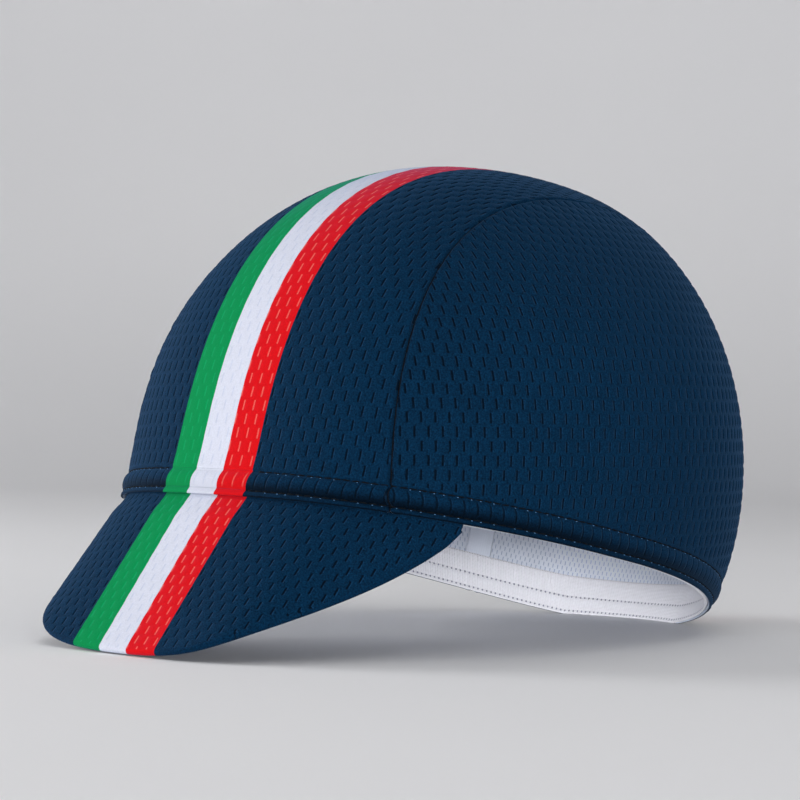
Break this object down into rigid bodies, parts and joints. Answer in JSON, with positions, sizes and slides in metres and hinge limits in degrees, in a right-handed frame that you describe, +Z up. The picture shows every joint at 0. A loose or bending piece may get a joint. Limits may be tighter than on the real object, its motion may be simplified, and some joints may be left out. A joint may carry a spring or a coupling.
{
  "type": "cycling cap",
  "caption": "Soft close-fitting cap with a short turned-down peak, a stitched hem, a striped middle panel and an inner sweatband, lying as it rests by itself.",
  "frame": {"origin": "centre of the cap's box, on the ground that it rests on", "axes": "+X to the wearer's left, -Y to the front where the peak points, +Z up"},
  "size_m": [0.164, 0.2244, 0.139],
  "materials": {
    "striped_mesh": "printed polyester mesh, navy with a green, white and red stripe, matt",
    "navy_mesh": "printed polyester mesh with small slits, navy, matt",
    "white_band": "fine ribbed white elastic band, matt",
    "peak_cloth": "printed polyester mesh over a thin stiffener, navy with the same stripe, matt"
  },
  "bodies": {
    "root": {"centre_panel": "striped_mesh", "left_panel": "navy_mesh", "right_panel": "navy_mesh", "sweatband": "white_band", "peak": "peak_cloth"}
  },
  "joints": []
}
